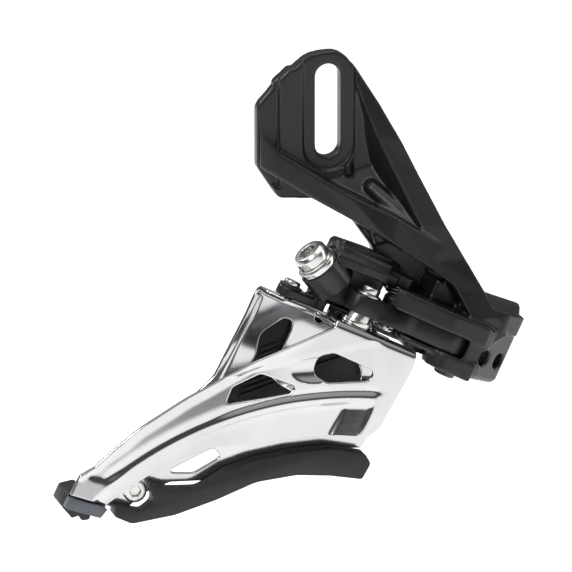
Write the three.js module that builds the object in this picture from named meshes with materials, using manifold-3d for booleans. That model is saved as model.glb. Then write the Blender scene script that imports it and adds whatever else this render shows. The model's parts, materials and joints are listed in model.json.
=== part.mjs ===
// Side-swing front derailleur for a slotted direct mount, as separate named sub-parts.
// Millimetres. +X is forward, +Y inboard, +Z up. The origin is on the seat face, under the slot.
import * as THREE from 'three';
import { mergeVertices } from 'three/addons/utils/BufferGeometryUtils.js';
import Module from 'manifold-3d';

const wasm = await Module();
wasm.setup();

// ---- driving dimensions ----
const SLOT = { width: 6.3, low: 2.5, high: 25.4 };
const SEAT = { thick: 4, ledge: 5, edge: 3.4, padRadius: 6.4, step: -12.2 };
const SHEET = 1.2;
const GAP = 0.3;
const RUN = 0.09;

// The linkage frame: its Z is the pivot axis, leaning forward, with pivot A at its origin.
const LINKAGE = { x: 2, y: -24, z: -33.5, lean: THREE.MathUtils.degToRad(25) };
const A = { x: 0, y: 0 };
const B = { x: -15.8, y: 9 };
const LINK = { x: 24.1, y: -3.9 };
const C = { x: A.x + LINK.x, y: A.y + LINK.y };
const D = { x: B.x + LINK.x, y: B.y + LINK.y };
const PIN_R = 1.5;
const BUSH_R = 2.25;

// Levels along the pivot axis.
const LINK_LOW = 2.5;
const LINK_HIGH = 6.8;
const ARM_LOW = 1.4;
const OUTER_FLANGE_TOP = -0.5;
const INNER_FLANGE_TOP = OUTER_FLANGE_TOP - SHEET - GAP;
const COIL = { low: 8.6, high: 10.8, radius: 2.9, wire: 0.8, turns: 1.7 };

// The cage follows circles about the crank.
const CRANK = { x: -5.4, z: -142.3 };
const OUTER_FACE = -29.5;
const STEP_R = 90.8;
const STEP = 1.1;
const INNER_HIGH = -12;
const INNER_LOW = -16;
const SKID_FACE = -21;

const CLAMP = {
  face: new THREE.Vector3(-17.1, 5, 10.7),
  inward: new THREE.Vector3(0.887, 0.09, -0.458).normalize(),
  headR: 4.3,
  headH: 2.9,
  plateR: 5,
  plateH: 1.3,
  washerR: 4.5,
  washerH: 0.6,
  bossR: 5.3,
};
const STOP = {
  mouth: new THREE.Vector3(35.5, -1.2, 15.1),
  back: new THREE.Vector3(22, -0.8, 14.2),
  bossR: 4,
  linerR: 2.7,
  boreR: 1.3,
};
const LIMIT = {
  out: new THREE.Vector3(0.77, -0.64, 0),
  heads: [new THREE.Vector3(29.5, -6.7, 4.4), new THREE.Vector3(34.3, -1.9, 4.4)],
  lengths: [1.8, 8],
  r: 1.85,
  holeR: 2,
};

// ---- materials ----
function finish(color, roughness, metalness) {
  return new THREE.MeshStandardMaterial({ color, roughness, metalness });
}
const BLACK_METAL = finish(0x1b1b1d, 0.5, 0.3);
const CHROME = finish(0xd9dadc, 0.15, 1);
const STEEL = finish(0xb9b7b3, 0.25, 1);
const BLACK_PLASTIC = finish(0x101011, 0.6, 0);
const GREY_PLASTIC = finish(0x3a3e44, 0.6, 0);

// ---- outlines: arrays of Vector2 ----
function disc(x, y, r, n = 24) {
  const points = [];
  for (let i = 0; i < n; i += 1) {
    const t = (i / n) * 2 * Math.PI;
    points.push(new THREE.Vector2(x + r * Math.cos(t), y + r * Math.sin(t)));
  }
  return points;
}

// Corners are [x, y, fillet radius]; a fillet takes at most half of each side.
function corners(list, steps = 4) {
  const points = [];
  list.forEach(([x, y, r = 0], i) => {
    const corner = new THREE.Vector2(x, y);
    const before = list[(i + list.length - 1) % list.length];
    const after = list[(i + 1) % list.length];
    const back = new THREE.Vector2(before[0] - x, before[1] - y);
    const ahead = new THREE.Vector2(after[0] - x, after[1] - y);
    if (r === 0) {
      points.push(corner);
      return;
    }
    const half = Math.acos(THREE.MathUtils.clamp(back.dot(ahead) / back.length() / ahead.length(), -1, 1)) / 2;
    const reach = Math.min(r / Math.tan(half), back.length() * 0.49, ahead.length() * 0.49);
    const start = corner.clone().addScaledVector(back.normalize(), reach);
    const end = corner.clone().addScaledVector(ahead.normalize(), reach);
    points.push(...new THREE.QuadraticBezierCurve(start, corner, end).getPoints(steps));
  });
  return points;
}

// A stadium from p to q, with its own radius at each end.
function stadium(p, q, rp, rq = rp, n = 12) {
  const along = Math.atan2(q.y - p.y, q.x - p.x);
  const points = [];
  for (let i = 0; i <= n; i += 1) {
    const t = along + Math.PI / 2 + (i / n) * Math.PI;
    points.push(new THREE.Vector2(p.x + rp * Math.cos(t), p.y + rp * Math.sin(t)));
  }
  for (let i = 0; i <= n; i += 1) {
    const t = along - Math.PI / 2 + (i / n) * Math.PI;
    points.push(new THREE.Vector2(q.x + rq * Math.cos(t), q.y + rq * Math.sin(t)));
  }
  return points;
}

// ---- closed bodies ----
function column(outline, low, high, holes = []) {
  const facing = THREE.ShapeUtils.isClockWise(outline) ? [...outline].reverse() : outline;
  const shape = new THREE.Shape(facing);
  shape.holes = holes.map((hole) => new THREE.Path(hole));
  const geometry = new THREE.ExtrudeGeometry(shape, { depth: high - low, bevelEnabled: false });
  return geometry.translate(0, 0, low);
}

// An outline in X and Z, standing between two depths along Y.
function wall(outline, near, far, holes = []) {
  return column(outline, -far, -near, holes).rotateX(Math.PI / 2);
}

function rod(r, from, to, n = 24) {
  const along = to.clone().sub(from);
  const geometry = new THREE.CylinderGeometry(r, r, along.length(), n);
  const turn = new THREE.Quaternion().setFromUnitVectors(new THREE.Vector3(0, 1, 0), along.clone().normalize());
  const middle = from.clone().add(to).multiplyScalar(0.5);
  return geometry.applyQuaternion(turn).translate(middle.x, middle.y, middle.z);
}

// A turned body about Z; the profile is [r, z] pairs that start and end on the axis.
function turned(profile, n = 24) {
  const rising = profile[0][1] < profile.at(-1)[1] ? profile : [...profile].reverse();
  const points = rising.map(([r, z]) => new THREE.Vector2(r, z));
  return new THREE.LatheGeometry(points, n).rotateX(Math.PI / 2);
}

// A column whose ends draw in towards the outline's middle by the given ease.
function eased(outline, low, high, ease) {
  const middle = outline.reduce((sum, p) => sum.add(p), new THREE.Vector2()).divideScalar(outline.length);
  const ringAt = (level, inset) => outline.map((p) => {
    const reach = p.distanceTo(middle);
    const q = p.clone().lerp(middle, inset / reach);
    return [q.x, q.y, level];
  });
  const rings = [
    ringAt(low, ease), ringAt(low + ease * 0.3, ease * 0.45), ringAt(low + ease, 0), ringAt(high - ease * 0.4, 0),
    ringAt(high, ease * 0.3),
  ];
  return loft(rings);
}

// Triangles that close a ring's end: a fan, or a strip across a thin section.
function fan(sides) {
  const cap = [];
  for (let i = 1; i + 1 < sides; i += 1) {
    cap.push([0, i, i + 1]);
  }
  return cap;
}

function strip(sides) {
  const cap = [];
  for (let i = 0; i + 1 < sides / 2; i += 1) {
    cap.push([i, i + 1, sides - 1 - i], [i + 1, sides - 2 - i, sides - 1 - i]);
  }
  return cap;
}

// A body through rings of corners, with flat ends.
function loft(rings, cap = fan(rings[0].length)) {
  const sides = rings[0].length;
  const vertices = rings.flat(2);
  const index = [];
  for (let k = 0; k + 1 < rings.length; k += 1) {
    for (let i = 0; i < sides; i += 1) {
      const j = (i + 1) % sides;
      const low = k * sides;
      const high = low + sides;
      index.push(low + i, low + j, high + j, low + i, high + j, high + i);
    }
  }
  const last = (rings.length - 1) * sides;
  cap.forEach(([i, j, k]) => {
    index.push(k, j, i, last + i, last + j, last + k);
  });
  const geometry = new THREE.BufferGeometry();
  geometry.setAttribute('position', new THREE.Float32BufferAttribute(vertices, 3));
  geometry.setIndex(signedVolume(vertices, index) < 0 ? index.reverse() : index);
  return geometry;
}

function signedVolume(vertices, index) {
  const at = (i) => new THREE.Vector3().fromArray(vertices, 3 * i);
  let total = 0;
  for (let i = 0; i < index.length; i += 3) {
    total += at(index[i]).dot(at(index[i + 1]).cross(at(index[i + 2]))) / 6;
  }
  return total;
}

// ---- booleans ----
function solid(geometry) {
  const plain = geometry.clone();
  plain.deleteAttribute('normal');
  plain.deleteAttribute('uv');
  const merged = mergeVertices(plain, 1e-4);
  const vertProperties = new Float32Array(merged.attributes.position.array);
  const triVerts = new Uint32Array(merged.index.array);
  return new wasm.Manifold(new wasm.Mesh({ numProp: 3, vertProperties, triVerts }));
}

function shaped(body) {
  const out = body.getMesh();
  const geometry = new THREE.BufferGeometry();
  geometry.setAttribute('position', new THREE.BufferAttribute(new Float32Array(out.vertProperties), 3));
  geometry.setIndex(new THREE.BufferAttribute(new Uint32Array(out.triVerts), 1));
  geometry.computeVertexNormals();
  return geometry;
}

function joined(pieces, cuts = []) {
  let body = solid(pieces[0]);
  pieces.slice(1).forEach((piece) => {
    body = body.add(solid(piece));
  });
  cuts.forEach((cut) => {
    body = body.subtract(solid(cut));
  });
  return shaped(body);
}

// The largest shell alone, so that small hollows sealed between a casting's pieces are filled.
function filled(geometry) {
  const index = [...geometry.index.array];
  const owner = Array.from({ length: geometry.attributes.position.count }, (_, i) => i);
  const root = (i) => (owner[i] === i ? i : root(owner[i]));
  const corner = (k) => root(index[k]);
  for (let k = 0; k < index.length; k += 3) {
    owner[corner(k)] = corner(k + 1);
    owner[corner(k + 1)] = corner(k + 2);
  }
  const sizes = new Map();
  index.forEach((i) => sizes.set(root(i), (sizes.get(root(i)) || 0) + 1));
  const largest = [...sizes].sort((a, b) => b[1] - a[1])[0][0];
  geometry.setIndex(index.filter((i) => root(i) === largest));
  return geometry;
}

// ---- the scene ----
const derailleur = new THREE.Group();
const linkage = new THREE.Group();
linkage.position.set(LINKAGE.x, LINKAGE.y, LINKAGE.z);
linkage.rotation.y = LINKAGE.lean;
linkage.updateMatrix();
derailleur.add(linkage);

function leaned(geometry) {
  return geometry.applyMatrix4(linkage.matrix);
}

function part(name, geometry, material, parent = derailleur) {
  const mesh = new THREE.Mesh(geometry, material.clone());
  mesh.name = name;
  parent.add(mesh);
  return mesh;
}

function along(point, direction, distance) {
  return point.clone().addScaledVector(direction, distance);
}

// ---- bracket: seat plate, two arms, pivot housing and cable boss in one casting ----
function seatPlate() {
  return wall(corners([
    [-17.4, 1, 2], [-17.4, 15.8, 3], [-13.3, 20.4, 0.6], [-13.2, 21.5, 0.8], [-9.3, 25, 0.8], [-8.4, 24.8, 0.6],
    [-4.8, 27.8, 7], [3.6, 29, 7], [9.4, 19.5, 1], [17, 4, 1], [18, -7, 2], [4, -7.9, 1], [-12.4, -6.7, 1.6],
  ]), -SEAT.ledge, 0);
}

function seatCuts() {
  const padMiddle = SLOT.low + SLOT.width / 2;
  const pad = stadium({ x: 0, y: padMiddle }, { x: 0, y: 40 }, SEAT.padRadius);
  const slot = stadium(
    { x: 0, y: padMiddle }, { x: 0, y: SLOT.high - SLOT.width / 2 }, SLOT.width / 2,
  );
  const edge = corners([[-30, -4], [SEAT.step, -4], [SEAT.step, 40], [-30, 40]]);
  return [
    wall(pad, -SEAT.ledge - 1, -SEAT.thick),
    wall(slot, -20, 20),
    wall(edge, -SEAT.ledge - 1, -SEAT.edge),
  ];
}

// Each ring is front-upper, front-lower, back-lower, back-upper.
function lowerArm() {
  return loft([
    [[-17.4, -6, 14.5], [-17.4, -6.8, 1.6], [-17.4, -0.5, 1.6], [-17.4, -0.5, 14.5]],
    [[-16, -7.2, 9], [-16.4, -7.5, 0.8], [-16.4, -0.5, 0.8], [-16, -0.5, 9]],
    [[-12.8, -8.6, 5.2], [-13.3, -9, -1], [-13.3, -0.5, -1], [-12.8, -0.5, 5.2]],
    [[-5.9, -11.5, 0.7], [-6.2, -12, -5.4], [-6.2, -2, -5.4], [-5.9, -2, 0.7]],
    [[2, -15.3, -4.1], [4, -16.5, -11.1], [4, -6, -11.1], [2, -5, -4.1]],
    [[13.2, -19.6, -9.6], [11.5, -20.6, -15.5], [11.5, -11, -15.5], [13.2, -11, -9.6]],
    [[20.9, -22.9, -14.2], [21, -26.9, -21.9], [21, -17, -21.9], [20.9, -15, -14.2]],
    [[26, -25.3, -17.5], [24.6, -28.8, -24.8], [24.6, -19, -24.8], [26, -18, -17.5]],
  ]);
}

// Each ring is front-left, front-right, back-right, back-left.
function upperArm() {
  return loft([
    [[4.5, -4.6, 25.5], [6.2, -4.6, 25.2], [6.2, -0.5, 25.2], [4.5, -0.5, 25.5]],
    [[7.7, -6.6, 17], [12.2, -7.4, 15.3], [12.2, -1, 15.3], [6.4, -1, 17]],
    [[10.6, -9.6, 8.7], [16.8, -10.6, 6.6], [16.2, -3, 6.6], [7.8, -3, 8.7]],
    [[14.1, -14, -0.2], [19.8, -15, -0.6], [19, -6, -0.6], [11, -6, -0.2]],
    [[18.7, -20.4, -11.9], [24.6, -21.6, -11.6], [24, -11, -11.6], [16.4, -11, -11.9]],
    [[21.6, -26, -19.5], [28.2, -27, -19], [27.6, -16, -19], [21.6, -15, -19.5]],
    [[25.3, -29.6, -26], [32, -29.8, -26.2], [31.6, -19, -26.2], [25.3, -18, -26]],
    [[28.6, -31.4, -33], [35.2, -31.4, -32.6], [35, -20.6, -32.6], [28.6, -20.6, -33]],
    [[32.6, -31.6, -39.6], [37.4, -31.2, -37.4], [37.2, -24, -37.4], [32.6, -24, -39.6]],
  ]);
}

function pocketPost() {
  const points = [[8.4, -7.2, -3.4], [8.9, -8, -3.8], [10.4, -9.2, -5.2], [15.8, -14.4, -10.2], [18.4, -17.4, -12.6]];
  const radii = [1, 1.7, 2, 2.3, 2.2];
  return loft(points.map(([x, y, z], k) => disc(0, 0, radii[k], 12).map((p) => [
    x + p.x * 0.7, y + p.y * 0.9, z + p.x * 0.7,
  ])));
}

// The short rib that runs on from the pad's lower right edge.
function padRib() {
  return rod(0.9, new THREE.Vector3(4.9, -4.6, 2), new THREE.Vector3(4.7, -5.6, -2), 12);
}

// The floor between the arms, from the seat plate down to the web.
function pocketFloor() {
  return loft([
    [[-3, -4.5, -3], [17, -4.5, 3], [17, -0.8, 3], [-3, -0.8, -3]],
    [[4, -10, -9], [19, -10, -4], [19, -5.6, -4], [4, -5.6, -9]],
    [[8, -15, -14], [24, -16, -12], [24, -9.6, -12], [8, -9.6, -14]],
    [[9, -15, -17], [24, -16, -15], [24, -9.6, -15], [9, -9.6, -17]],
  ]);
}

// The web behind the arms, and the housing that carries both link pivots.
function housing() {
  const web = wall(corners([
    [3.2, -10.4, 1], [8.6, -18, 3], [9.6, -25.5, 2], [17, -35, 2], [30, -40, 1], [34, -31, 1], [27, -18, 1],
    [19, -10, 1],
  ]), -13.6, -9.6);
  const side = corners([
    [28.9, -9.4, 1], [38, -1, 2.5], [38, 6, 3], [33, 9.8, 2], [13.4, 10.4, 1], [13.4, 1.4, 1],
    [21, 1.4, 1], [25, 1.4, 0],
  ]);
  const roof = corners([
    [28.9, -9.4, 0], [20, -9.2, 5], [6, -5.6, 1], [4.6, -3, 1], [10.6, 0.9, 1], [14, 1.4, 0], [28.9, 1.4, 0],
  ]);
  const floor = corners([
    [28.9, -9.4, 0], [20.5, -9, 4], [18, -6, 2], [18, -1, 3], [22, 3, 0], [28.9, 3, 0],
  ]);
  const shelf = corners([[26, -8, 1], [12.4, -6, 2], [9.6, -3.6, 2], [9.6, -0.6, 1], [18, 2.6, 1], [26, 2.6, 1]]);
  const jamb = corners([[24.9, -9.25, 0.3], [30.2, -8.5, 0], [30.2, -4.5, 0], [26, -6.5, 0.3]]);
  const heel = corners([[6.4, 8.4, 0.6], [15, 8.2, 0], [15, 9.9, 0], [6.4, 9.9, 0.6]]);
  const cap = corners([
    [37.4, -3.5, 2], [37.4, 6, 3], [32, 9.8, 2], [13.6, 10.4, 1], [15.5, 3.2, 1], [26, 2.2, 1], [26.5, -6, 1],
    [32, -7.6, 1],
  ]);
  const lug = stadium(D, { x: 16, y: 6 }, 2.85, 3.6);
  return [
    web,
    leaned(eased(side, -1.6, 11.6, 1.4)),
    leaned(column(roof, LINK_HIGH + GAP, 11.9)),
    leaned(column(floor, -2.2, LINK_LOW - GAP)),
    leaned(column(shelf, 0.7, 2)),
    leaned(column(heel, -1.5, 1)),
    leaned(column(jamb, 1.9, 7.4)),
    leaned(column(cap, 11.5, 16.5)),
    leaned(column(lug, 3.9, 8.4)),
    leaned(column(disc(D.x, D.y, 2.3), 8.3, COIL.high)),
    leaned(rod(STOP.bossR, STOP.back, STOP.mouth, 32)),
  ];
}

function housingCuts() {
  const mouthIn = STOP.mouth.clone().lerp(STOP.back, 0.2);
  const past = STOP.mouth.clone().lerp(STOP.back, -0.1);
  const through = STOP.mouth.clone().lerp(STOP.back, 1.3);
  const cuts = [
    leaned(rod(PIN_R + RUN, new THREE.Vector3(C.x, C.y, -9), new THREE.Vector3(C.x, C.y, 11))),
    leaned(rod(PIN_R + RUN, new THREE.Vector3(D.x, D.y, -9), new THREE.Vector3(D.x, D.y, 14))),
    leaned(rod(STOP.linerR + RUN, past, mouthIn, 32)),
    leaned(rod(STOP.boreR, past, through, 16)),
  ];
  LIMIT.heads.forEach((head, i) => {
    const start = along(head, LIMIT.out, 3);
    const end = along(head, LIMIT.out, -LIMIT.lengths[i] - 0.4);
    cuts.push(leaned(rod(LIMIT.holeR, start, end)));
  });
  return cuts;
}

function addBracket() {
  const swept = leaned(column(stadium(C, { x: 8, y: -14 }, 4.1, 8), LINK_LOW - GAP, LINK_HIGH + GAP));
  const pieces = [seatPlate(), lowerArm(), upperArm(), pocketPost(), padRib(), pocketFloor(), ...housing()];
  const casting = joined(pieces, [...seatCuts(), ...housingCuts(), swept]);
  part('bracket_housing', filled(casting), BLACK_METAL);
}

// ---- pins, bushes and washers ----
function headedPin(low, high, headR, headH) {
  return turned([
    [0, low - headH], [headR - 0.3, low - headH], [headR, low - headH + 0.3], [headR, low], [PIN_R, low],
    [PIN_R, high - 0.2], [PIN_R - 0.2, high], [0, high],
  ]);
}

function ring(outer, inner, low, high, n = 24) {
  return column(disc(0, 0, outer, n), low, high, [disc(0, 0, inner, n)]);
}

function addAt(pivot, name, geometry, material) {
  const mesh = part(name, geometry, material, linkage);
  mesh.position.set(pivot.x, pivot.y, 0);
  return mesh;
}

function addPins() {
  addAt(C, 'housing_pin_outer', headedPin(-2.5, 10.8, 2.6, 0.9), STEEL);
  addAt(D, 'housing_pin_inner', headedPin(1.1, 13.2, 2.5, 0.8), STEEL);
  const upperHead = headedPin(-LINK_HIGH - 0.8, 3.6, 2.3, 1.6).rotateX(Math.PI);
  addAt(A, 'cage_pin_outer', upperHead, STEEL);
  addAt(A, 'cage_washer_upper', ring(3.1, PIN_R + RUN, LINK_HIGH + 0.1, LINK_HIGH + 0.7), STEEL);
  const seat = OUTER_FLANGE_TOP + 0.1;
  const collar = joined([ring(3.9, PIN_R + RUN, seat, seat + 1.1), ring(3.1, PIN_R + RUN, seat + 1, LINK_LOW - 0.1)]);
  addAt(A, 'cage_washer_lower', collar, STEEL);
  const shortHead = headedPin(-1.3, 3.6, 2.1, 1.1).rotateX(Math.PI);
  addAt(B, 'cage_pin_inner', shortHead, STEEL);
  addAt(B, 'cage_pin_clip', ring(2.9, PIN_R + RUN, 0.75, 1.2), BLACK_METAL);
}

function addBushes() {
  [['outer_link_bush_rear', A], ['outer_link_bush_front', C]].forEach(([name, pivot]) => {
    addAt(pivot, name, ring(BUSH_R, PIN_R + RUN, LINK_LOW, LINK_HIGH), STEEL);
  });
}

// ---- links ----
function addOuterLink() {
  const body = corners([
    [-5, 0.6, 3.5], [-3.6, -3.6, 3.5], [3, -4.2, 4], [11, -4.8, 20], [22, -7.6, 4], [27.6, -6.4, 3.5], [27.8, -2, 3.5],
    [23.5, 0.2, 4], [14, 1, 20], [5, 2.2, 10], [1.6, 3.7, 2.5], [-3, 3.4, 2.5],
  ]);
  const holes = [disc(A.x, A.y, BUSH_R + 0.08), disc(C.x, C.y, BUSH_R + 0.08)];
  part('outer_link', column(body, LINK_LOW, LINK_HIGH, holes), BLACK_METAL, linkage);
}

function clampAt(distance) {
  return along(CLAMP.face, CLAMP.inward, distance);
}

// The cable arm's crown: sections across the arm, each [reach, front, back, bottom, top].
function crown() {
  const sections = [
    [-11.6, 4.6, 10, 11.6, 15.2], [-10.6, 3.4, 10.8, 11, 16], [-3, 2, 10, 10.8, 16.5], [3, 1.7, 9, 11, 16.4],
    [5.8, 2, 8.4, 11.1, 16], [7, 3, 7.4, 11.5, 15.4], [7.5, 4.4, 6.4, 12.3, 14.6],
  ];
  const rings = sections.map(([reach, front, back, bottom, top]) => {
    const slope = (top - bottom) * 0.6;
    return [
      [reach, front, bottom], [reach, front, top - slope], [reach, front + slope * 1.1, top], [reach, back, top],
      [reach, back, bottom],
    ];
  });
  return loft(rings);
}

// Two ribs that run along the crown's sloping front.
function crownRibs() {
  const at = (reach, out, level) => new THREE.Vector3(reach, out, level);
  return [
    rod(0.5, at(-9, 4.6, 15.3), at(3.6, 3.1, 15), 10),
    rod(0.5, at(-9, 6.4, 16.1), at(3.6, 5.2, 16.2), 10),
  ];
}

function addInnerLink() {
  const seat = CLAMP.headH + CLAMP.washerH + CLAMP.plateH + 0.4;
  const knee = { x: -2, y: 7.4 };
  const web = corners([
    [-11.4, 6.5, 1], [3.9, 4, 0.5], [3.9, 9.2, 0.5], [-9, 11.2, 2], [-11.6, 10.8, 2],
  ]);
  const foot = corners([
    [-11.2, 6.6, 1], [-6.6, 5.9, 0.5], [-6.6, 10.6, 1], [-11.4, 11, 1],
  ]);
  const shelf = corners([[-8, 6.2, 0.5], [1.4, 6.4, 1], [1.4, 10, 1], [-8, 10.8, 0.5]]);
  const ear = stadium({ x: 0, y: 6 }, D, 2.6, 2.9);
  const pieces = [
    column(stadium(knee, D, 2, 2.8), ARM_LOW, 3.6),
    column(web, ARM_LOW, 13.2),
    column(foot, INNER_FLANGE_TOP + GAP, 4),
    column(stadium(B, { x: -9.6, y: 8.6 }, 3, 2.6), INNER_FLANGE_TOP + GAP, 0.6),
    column(shelf, 0.6, ARM_LOW + 0.2),
    column(ear, 11.2, 14.2),
    crown(),
    ...crownRibs(),
    rod(CLAMP.bossR, clampAt(seat), clampAt(seat + 6.5), 32),
  ];
  const cuts = [
    rod(PIN_R + RUN, new THREE.Vector3(D.x, D.y, -5), new THREE.Vector3(D.x, D.y, 13.5)),
    rod(PIN_R + RUN, new THREE.Vector3(B.x, B.y, -9), new THREE.Vector3(B.x, B.y, 9)),
    rod(2.5 + RUN, clampAt(0), clampAt(seat + 4.8)),
    rod(CLAMP.bossR + 0.6, clampAt(-9), clampAt(seat), 32),
  ];
  part('inner_link', joined(pieces, cuts), BLACK_METAL, linkage);
}

// ---- cable clamp ----
function placeOnClamp(mesh) {
  const outward = CLAMP.inward.clone().negate();
  mesh.quaternion.setFromUnitVectors(new THREE.Vector3(0, 0, 1), outward);
  mesh.position.copy(CLAMP.face);
}

function addClamp() {
  const under = -CLAMP.headH - GAP / 3;
  const head = turned([
    [0, 0], [CLAMP.headR - 0.8, 0], [CLAMP.headR, -0.9], [CLAMP.headR, -CLAMP.headH], [2.5, -CLAMP.headH],
    [2.5, -9.2], [2.1, -9.6], [0, -9.6],
  ], 32);
  const socket = column(disc(0, 0, 2.31, 6), -1.9, 1);
  const washer = ring(CLAMP.washerR, 2.6, under - CLAMP.washerH, under, 32);
  const plateTop = under - CLAMP.washerH - GAP / 3;
  const plate = ring(CLAMP.plateR, 2.6, plateTop - CLAMP.plateH, plateTop, 32);
  placeOnClamp(part('cable_bolt', joined([head], [socket]), STEEL, linkage));
  placeOnClamp(part('cable_washer', washer, STEEL, linkage));
  placeOnClamp(part('cable_clamp_plate', plate, STEEL, linkage));
}

// ---- return spring: a coil round the housing's inner pivot tube, with a leg at each end ----
class SpringPath extends THREE.Curve {
  getPoint(t) {
    const leg = 0.06;
    const s = THREE.MathUtils.clamp((t - leg) / (1 - 2 * leg), 0, 1);
    const angle = 0.4 + s * COIL.turns * 2 * Math.PI;
    const rise = COIL.low + COIL.wire / 2 + s * (COIL.high - COIL.low - COIL.wire);
    const point = new THREE.Vector3(COIL.radius * Math.cos(angle), COIL.radius * Math.sin(angle), rise);
    const tangent = new THREE.Vector3(-Math.sin(angle), Math.cos(angle), 0);
    const past = t < leg ? t - leg : Math.max(0, t - 1 + leg);
    return point.addScaledVector(tangent, past * 30);
  }
}

function addSpring() {
  const section = new THREE.Shape(disc(0, 0, COIL.wire / 2, 6));
  const coil = new THREE.ExtrudeGeometry(section, { steps: 48, extrudePath: new SpringPath(), bevelEnabled: false });
  addAt(D, 'return_spring', coil, STEEL);
}

// ---- cable stop liner and limit screws ----
function placeAlong(mesh, point, direction) {
  mesh.quaternion.setFromUnitVectors(new THREE.Vector3(0, 0, 1), direction);
  mesh.position.copy(point);
}

function addStopLiner() {
  const out = STOP.mouth.clone().sub(STOP.back).normalize();
  const liner = ring(STOP.linerR, STOP.boreR, -2.6, 0.3, 24);
  placeAlong(part('cable_stop_liner', liner, BLACK_PLASTIC, linkage), STOP.mouth, out);
}

function addLimitScrews() {
  ['limit_screw_low', 'limit_screw_high'].forEach((name, i) => {
    const length = LIMIT.lengths[i];
    const body = turned([
      [0, 0], [LIMIT.r - 0.2, 0], [LIMIT.r, -0.2], [LIMIT.r, 0.5 - length], [LIMIT.r - 0.5, -length], [0, -length],
    ], 20);
    const socket = column(disc(0, 0, 1.15, 6), -1.3, 1);
    placeAlong(part(name, joined([body], [socket]), STEEL, linkage), LIMIT.heads[i], LIMIT.out);
  });
}

// ---- cage ----
// A sheet whose depth depends on the distance from the crank; profile is [radius, depth] pairs.
function contoured(profile, fromDeg, toDeg, stepDeg = 1.5) {
  const rings = [];
  for (let deg = fromDeg; deg <= toDeg; deg += stepDeg) {
    const t = THREE.MathUtils.degToRad(deg);
    const at = (r, y) => [CRANK.x + r * Math.cos(t), y, CRANK.z + r * Math.sin(t)];
    const face = profile.map(([r, y]) => at(r, y));
    const back = profile.map(([r, y]) => at(r, y + SHEET)).reverse();
    rings.push([...face, ...back]);
  }
  return loft(rings, strip(2 * profile.length));
}

function polar(r, x) {
  return [x, CRANK.z + Math.sqrt(r * r - (x - CRANK.x) ** 2)];
}

const OUTER_WINDOWS = [
  [[-31.4, -50.6, 0.8], [-29.6, -46.6, 2], [-22.6, -43.7, 2], [-14, -47.2, 1.2], [-15.6, -49, 1.5]],
  [[-9.9, -44.6, 2.5], [-8.6, -40, 2.5], [-4.6, -39.6, 3], [5.2, -44.6, 1.6], [3.8, -47, 2], [-6.4, -46.8, 3]],
];

function addOuterPlate() {
  const outline = corners([
    [-69.4, -70.5, 0.5], [-66.9, -65.8, 1], [-63.2, -64, 1.5], [-53, -55.2, 30], [-41, -48.2, 60], [-25, -40.6, 60],
    [-4.8, -33.2, 0.8], [-3.2, -32.1, 0], [15.4, -40.8, 0.6], [14.6, -44.6, 6], [6.6, -58.4, 3], [3.4, -60.9, 2],
    [...polar(82.3, -6), 20], [...polar(82.8, -20), 20], [...polar(85.8, -33), 10], [...polar(87.2, -43), 20],
    [...polar(87.4, -52), 20], [-60.3, -73.7, 0.4],
  ]);
  const profile = [
    [78, OUTER_FACE + STEP], [STEP_R - 1, OUTER_FACE + STEP], [STEP_R, OUTER_FACE], [112, OUTER_FACE],
  ];
  const sheet = solid(contoured(profile, 66, 144));
  const cut = solid(wall(outline, -40, -20, OUTER_WINDOWS.map((w) => corners(w))));
  const flange = corners([
    [-5.2, -5.2, 0.4], [15.4, -5.2, 0.4], [15, -3.8, 1], [8.6, -3.6, 2], [6.3, 0, 3], [6.2, 6.2, 2], [-6.2, 6.2, 2],
    [-6.1, -3, 2],
  ]);
  const top = leaned(column(flange, OUTER_FLANGE_TOP - SHEET, OUTER_FLANGE_TOP, [disc(A.x, A.y, PIN_R + RUN)]));
  const rivets = FLANGE_RIVETS.map((p) => leaned(column(disc(p.x, p.y, 1 + RUN), -9, 9)));
  part('cage_outer_plate', shaped(subtractAll(sheet.intersect(cut).add(solid(top)), rivets)), CHROME);
}

function subtractAll(body, cuts) {
  return cuts.reduce((left, cut) => left.subtract(solid(cut)), body);
}

const FLANGE_RIVETS = [{ x: -4.1, y: 4.2 }, { x: 4.1, y: 4.2 }];

const INNER_WINDOWS = [
  [
    [-12.9, -34.6, 1.5], [-10.7, -35.4, 1.5], [-11.2, -37.6, 3], [-13.7, -42.9, 6], [-17.3, -48.0, 2],
    [-13.7, -51.2, 4], [-11.0, -52.6, 1.5], [-10.5, -54.3, 2], [-26.7, -57.5, 1.5], [-28.4, -54.5, 3],
    [-22.2, -46.8, 8], [-19.8, -43.5, 6], [-19.1, -39.6, 6], [-18.3, -37.7, 4],
  ],
  [
    [-6.0, -42.8, 2], [0.8, -43.7, 3], [5.2, -46.2, 2], [6.2, -49.0, 3], [6.0, -51.9, 2],
    [3.8, -53.2, 2], [-6.0, -53.1, 2],
  ],
  [[-43.6, -70, 1], [-31.4, -64.6, 1.5], [-29.2, -66.8, 1.5], [-36, -70.4, 2]],
];

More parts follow.
